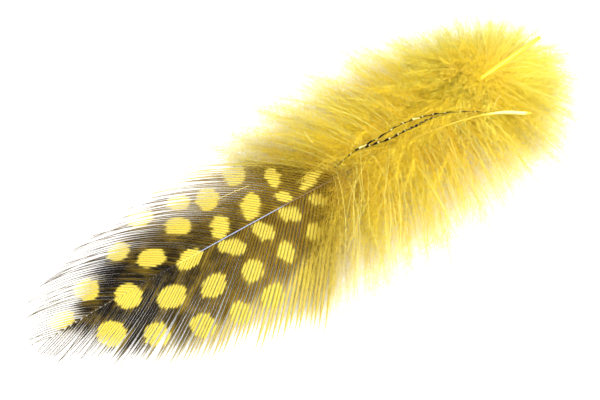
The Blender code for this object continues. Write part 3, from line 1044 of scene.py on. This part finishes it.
class FeatherLook(bpy.types.PropertyGroup):
    """Sizes and colours a user would change."""

    barb_step: FloatProperty(
        name="Barb step", description="Shaft length from barb to barb", default=0.60 * MM,
        min=0.3 * MM, unit="LENGTH", subtype="DISTANCE",
    )
    barbules: IntProperty(
        name="Barbules", description="Loose barbules on each side of a vane barb", default=50,
        min=5,
    )
    filaments: IntProperty(
        name="Down barbs", description="Downy barbs in each part of the down", default=300, min=20
    )
    crest_barbs: IntProperty(
        name="Crest barbs", description="Downy barbs that lie over the shaft", default=110, min=2
    )
    fuzz: IntProperty(
        name="Fuzz", description="Loose fibres over the roots of the down", default=4000, min=10
    )
    pale_hairs: IntProperty(
        name="Pale hairs", description="Long hairs on each side of the down", default=100, min=1
    )
    down_barbules: IntProperty(
        name="Down barbules", description="Straight barbules on each downy barb", default=105,
        min=10,
    )
    curled_barbules: IntProperty(
        name="Curled barbules", description="Curled barbules on each downy barb", default=6,
        min=1,
    )
    down_barbule_length: FloatProperty(
        name="Down barbule", description="Length of a barbule of the down", default=3.2 * MM,
        min=0.5 * MM, unit="LENGTH", subtype="DISTANCE",
    )
    dark: FloatVectorProperty(
        name="Barb", description="Pigmented barbs of the vane", size=4, subtype="COLOR",
        default=linear("#140D07"), min=0.0, max=1.0,
    )
    olive: FloatVectorProperty(
        name="Olive barb", description="Barbs beside the down", size=4, subtype="COLOR",
        default=linear("#6A5216"), min=0.0, max=1.0,
    )
    dot: FloatVectorProperty(
        name="Dot", description="Dyed dots of the vane", size=4, subtype="COLOR",
        default=linear("#F2DC5E"), min=0.0, max=1.0,
    )
    gold: FloatVectorProperty(
        name="Gold down", description="Thick down", size=4, subtype="COLOR",
        default=linear("#FAE02C"), min=0.0, max=1.0,
    )
    lemon: FloatVectorProperty(
        name="Lemon down", description="Down near the quill", size=4, subtype="COLOR",
        default=linear("#FFF25A"), min=0.0, max=1.0,
    )
    quill: FloatVectorProperty(
        name="Quill", description="Bare end of the shaft", size=4, subtype="COLOR",
        default=linear("#F4CE1A"), min=0.0, max=1.0,
    )


def chosen(context):
    """The look's values, lengths in millimetres."""
    look = context.scene.feather_look
    values = {}
    for name in FeatherLook.__annotations__:
        value = getattr(look, name)
        if name in ("dark", "olive", "dot", "gold", "lemon", "quill"):
            value = tuple(value)
        elif name in ("barb_step", "down_barbule_length"):
            value = value / MM
        values[name] = value
    return values


class FEATHER_OT_vane(bpy.types.Operator):
    """Build the barbs of both sides of the vane"""

    bl_idname = "feather.vane"
    bl_label = "Vane barbs"

    def execute(self, context):
        look = chosen(context)
        material = vane_material(look)
        build_vane_side(look, 1, material, "vane_upper_barbs")
        build_vane_side(look, -1, material, "vane_lower_barbs")
        return {"FINISHED"}


class FEATHER_OT_down(bpy.types.Operator):
    """Build the down on both sides, low and high, and the crest over the shaft"""

    bl_idname = "feather.down"
    bl_label = "Down"

    def execute(self, context):
        look = chosen(context)
        material = down_material(look)
        low, high = ROW_HEIGHT[0], ROW_HEIGHT[-1]
        for side, word in ((1, "upper"), (-1, "lower")):
            build_down(look, side, low, PILE_SPLIT, material, f"down_{word}_low")
            build_down(look, side, PILE_SPLIT, high, material, f"down_{word}_high")
        build_crest(look, material, "down_crest_barbs")
        return {"FINISHED"}


class FEATHER_OT_shaft(bpy.types.Operator):
    """Build the shaft with its quill"""

    bl_idname = "feather.shaft"
    bl_label = "Shaft and quill"

    def execute(self, context):
        build_shaft(shaft_material(chosen(context)))
        return {"FINISHED"}


class FEATHER_OT_stem(bpy.types.Operator):
    """Build the afterfeather's stem, the two dark strands and the stray bristles"""

    bl_idname = "feather.stem"
    bl_label = "Stem, strands and bristles"

    def execute(self, context):
        pale = stem_material()
        build_stem(pale)
        build_bristles(pale)
        build_strands(strand_material())
        return {"FINISHED"}


class FEATHER_OT_stage(bpy.types.Operator):
    """Make the pale floor, the soft light and the camera"""

    bl_idname = "feather.stage"
    bl_label = "Stage"

    def execute(self, context):
        bm = bmesh.new()
        bmesh.ops.create_grid(bm, x_segments=2, y_segments=2, size=FLOOR_REACH)
        mesh = bpy.data.meshes.new("floor")
        bm.to_mesh(mesh)
        bm.free()
        mesh.materials.append(floor_material())
        floor = bpy.data.objects.new("floor", mesh)
        context.scene.collection.objects.link(floor)
        world = bpy.data.worlds.new("soft_room")
        world.use_nodes = True
        sky = world.node_tree.nodes["Background"]
        sky.inputs["Color"].default_value = (1.0, 1.0, 1.0, 1.0)
        sky.inputs["Strength"].default_value = ROOM_LIGHT
        context.scene.world = world
        add_light("key", KEY_PLACE, KEY_POWER, KEY_SIZE)
        add_camera(context)
        context.scene.view_settings.view_transform = "Standard"
        return {"FINISHED"}


def add_light(name, place, power, size):
    lamp = bpy.data.lights.new(name, "AREA")
    lamp.energy = power
    lamp.size = size
    light = bpy.data.objects.new(name, lamp)
    light.location = place
    light.rotation_euler = Vector(place).to_track_quat("Z", "Y").to_euler()
    bpy.context.scene.collection.objects.link(light)


def add_camera(context):
    camera = bpy.data.cameras.new("camera")
    camera.lens = CAMERA_LENS
    camera.sensor_width = CAMERA_SENSOR
    camera.clip_start, camera.clip_end = 0.01, 20.0
    turn, rise = math.radians(CAMERA_AZIMUTH), math.radians(CAMERA_ELEVATION)
    back = Vector(
        (math.sin(turn) * math.cos(rise), -math.cos(turn) * math.cos(rise), math.sin(rise))
    )
    viewer = bpy.data.objects.new("camera", camera)
    viewer.location = (Vector(CAMERA_TARGET) + back * CAMERA_DISTANCE) * MM
    viewer.rotation_euler = back.to_track_quat("Z", "Y").to_euler()
    context.scene.collection.objects.link(viewer)
    context.scene.camera = viewer


class FEATHER_PT_panel(bpy.types.Panel):
    """The feather's sizes, colours and build steps"""

    bl_label = "Guinea fowl feather"
    bl_idname = "FEATHER_PT_panel"
    bl_space_type = "VIEW_3D"
    bl_region_type = "UI"
    bl_category = "Feather"

    def draw(self, context):
        look = context.scene.feather_look
        for name in FeatherLook.__annotations__:
            self.layout.prop(look, name)
        for step in OPERATORS:
            self.layout.operator(step.bl_idname)


OPERATORS = (
    FEATHER_OT_shaft,
    FEATHER_OT_stem,
    FEATHER_OT_vane,
    FEATHER_OT_down,
    FEATHER_OT_stage,
)
CLASSES = (FeatherLook, *OPERATORS, FEATHER_PT_panel)


def register():
    for item in CLASSES:
        bpy.utils.register_class(item)
    bpy.types.Scene.feather_look = PointerProperty(type=FeatherLook)


def unregister():
    del bpy.types.Scene.feather_look
    for item in reversed(CLASSES):
        bpy.utils.unregister_class(item)


def main():
    register()
    bpy.ops.feather.shaft()
    bpy.ops.feather.stem()
    bpy.ops.feather.vane()
    bpy.ops.feather.down()
    bpy.ops.feather.stage()


if __name__ == "__main__":
    main()
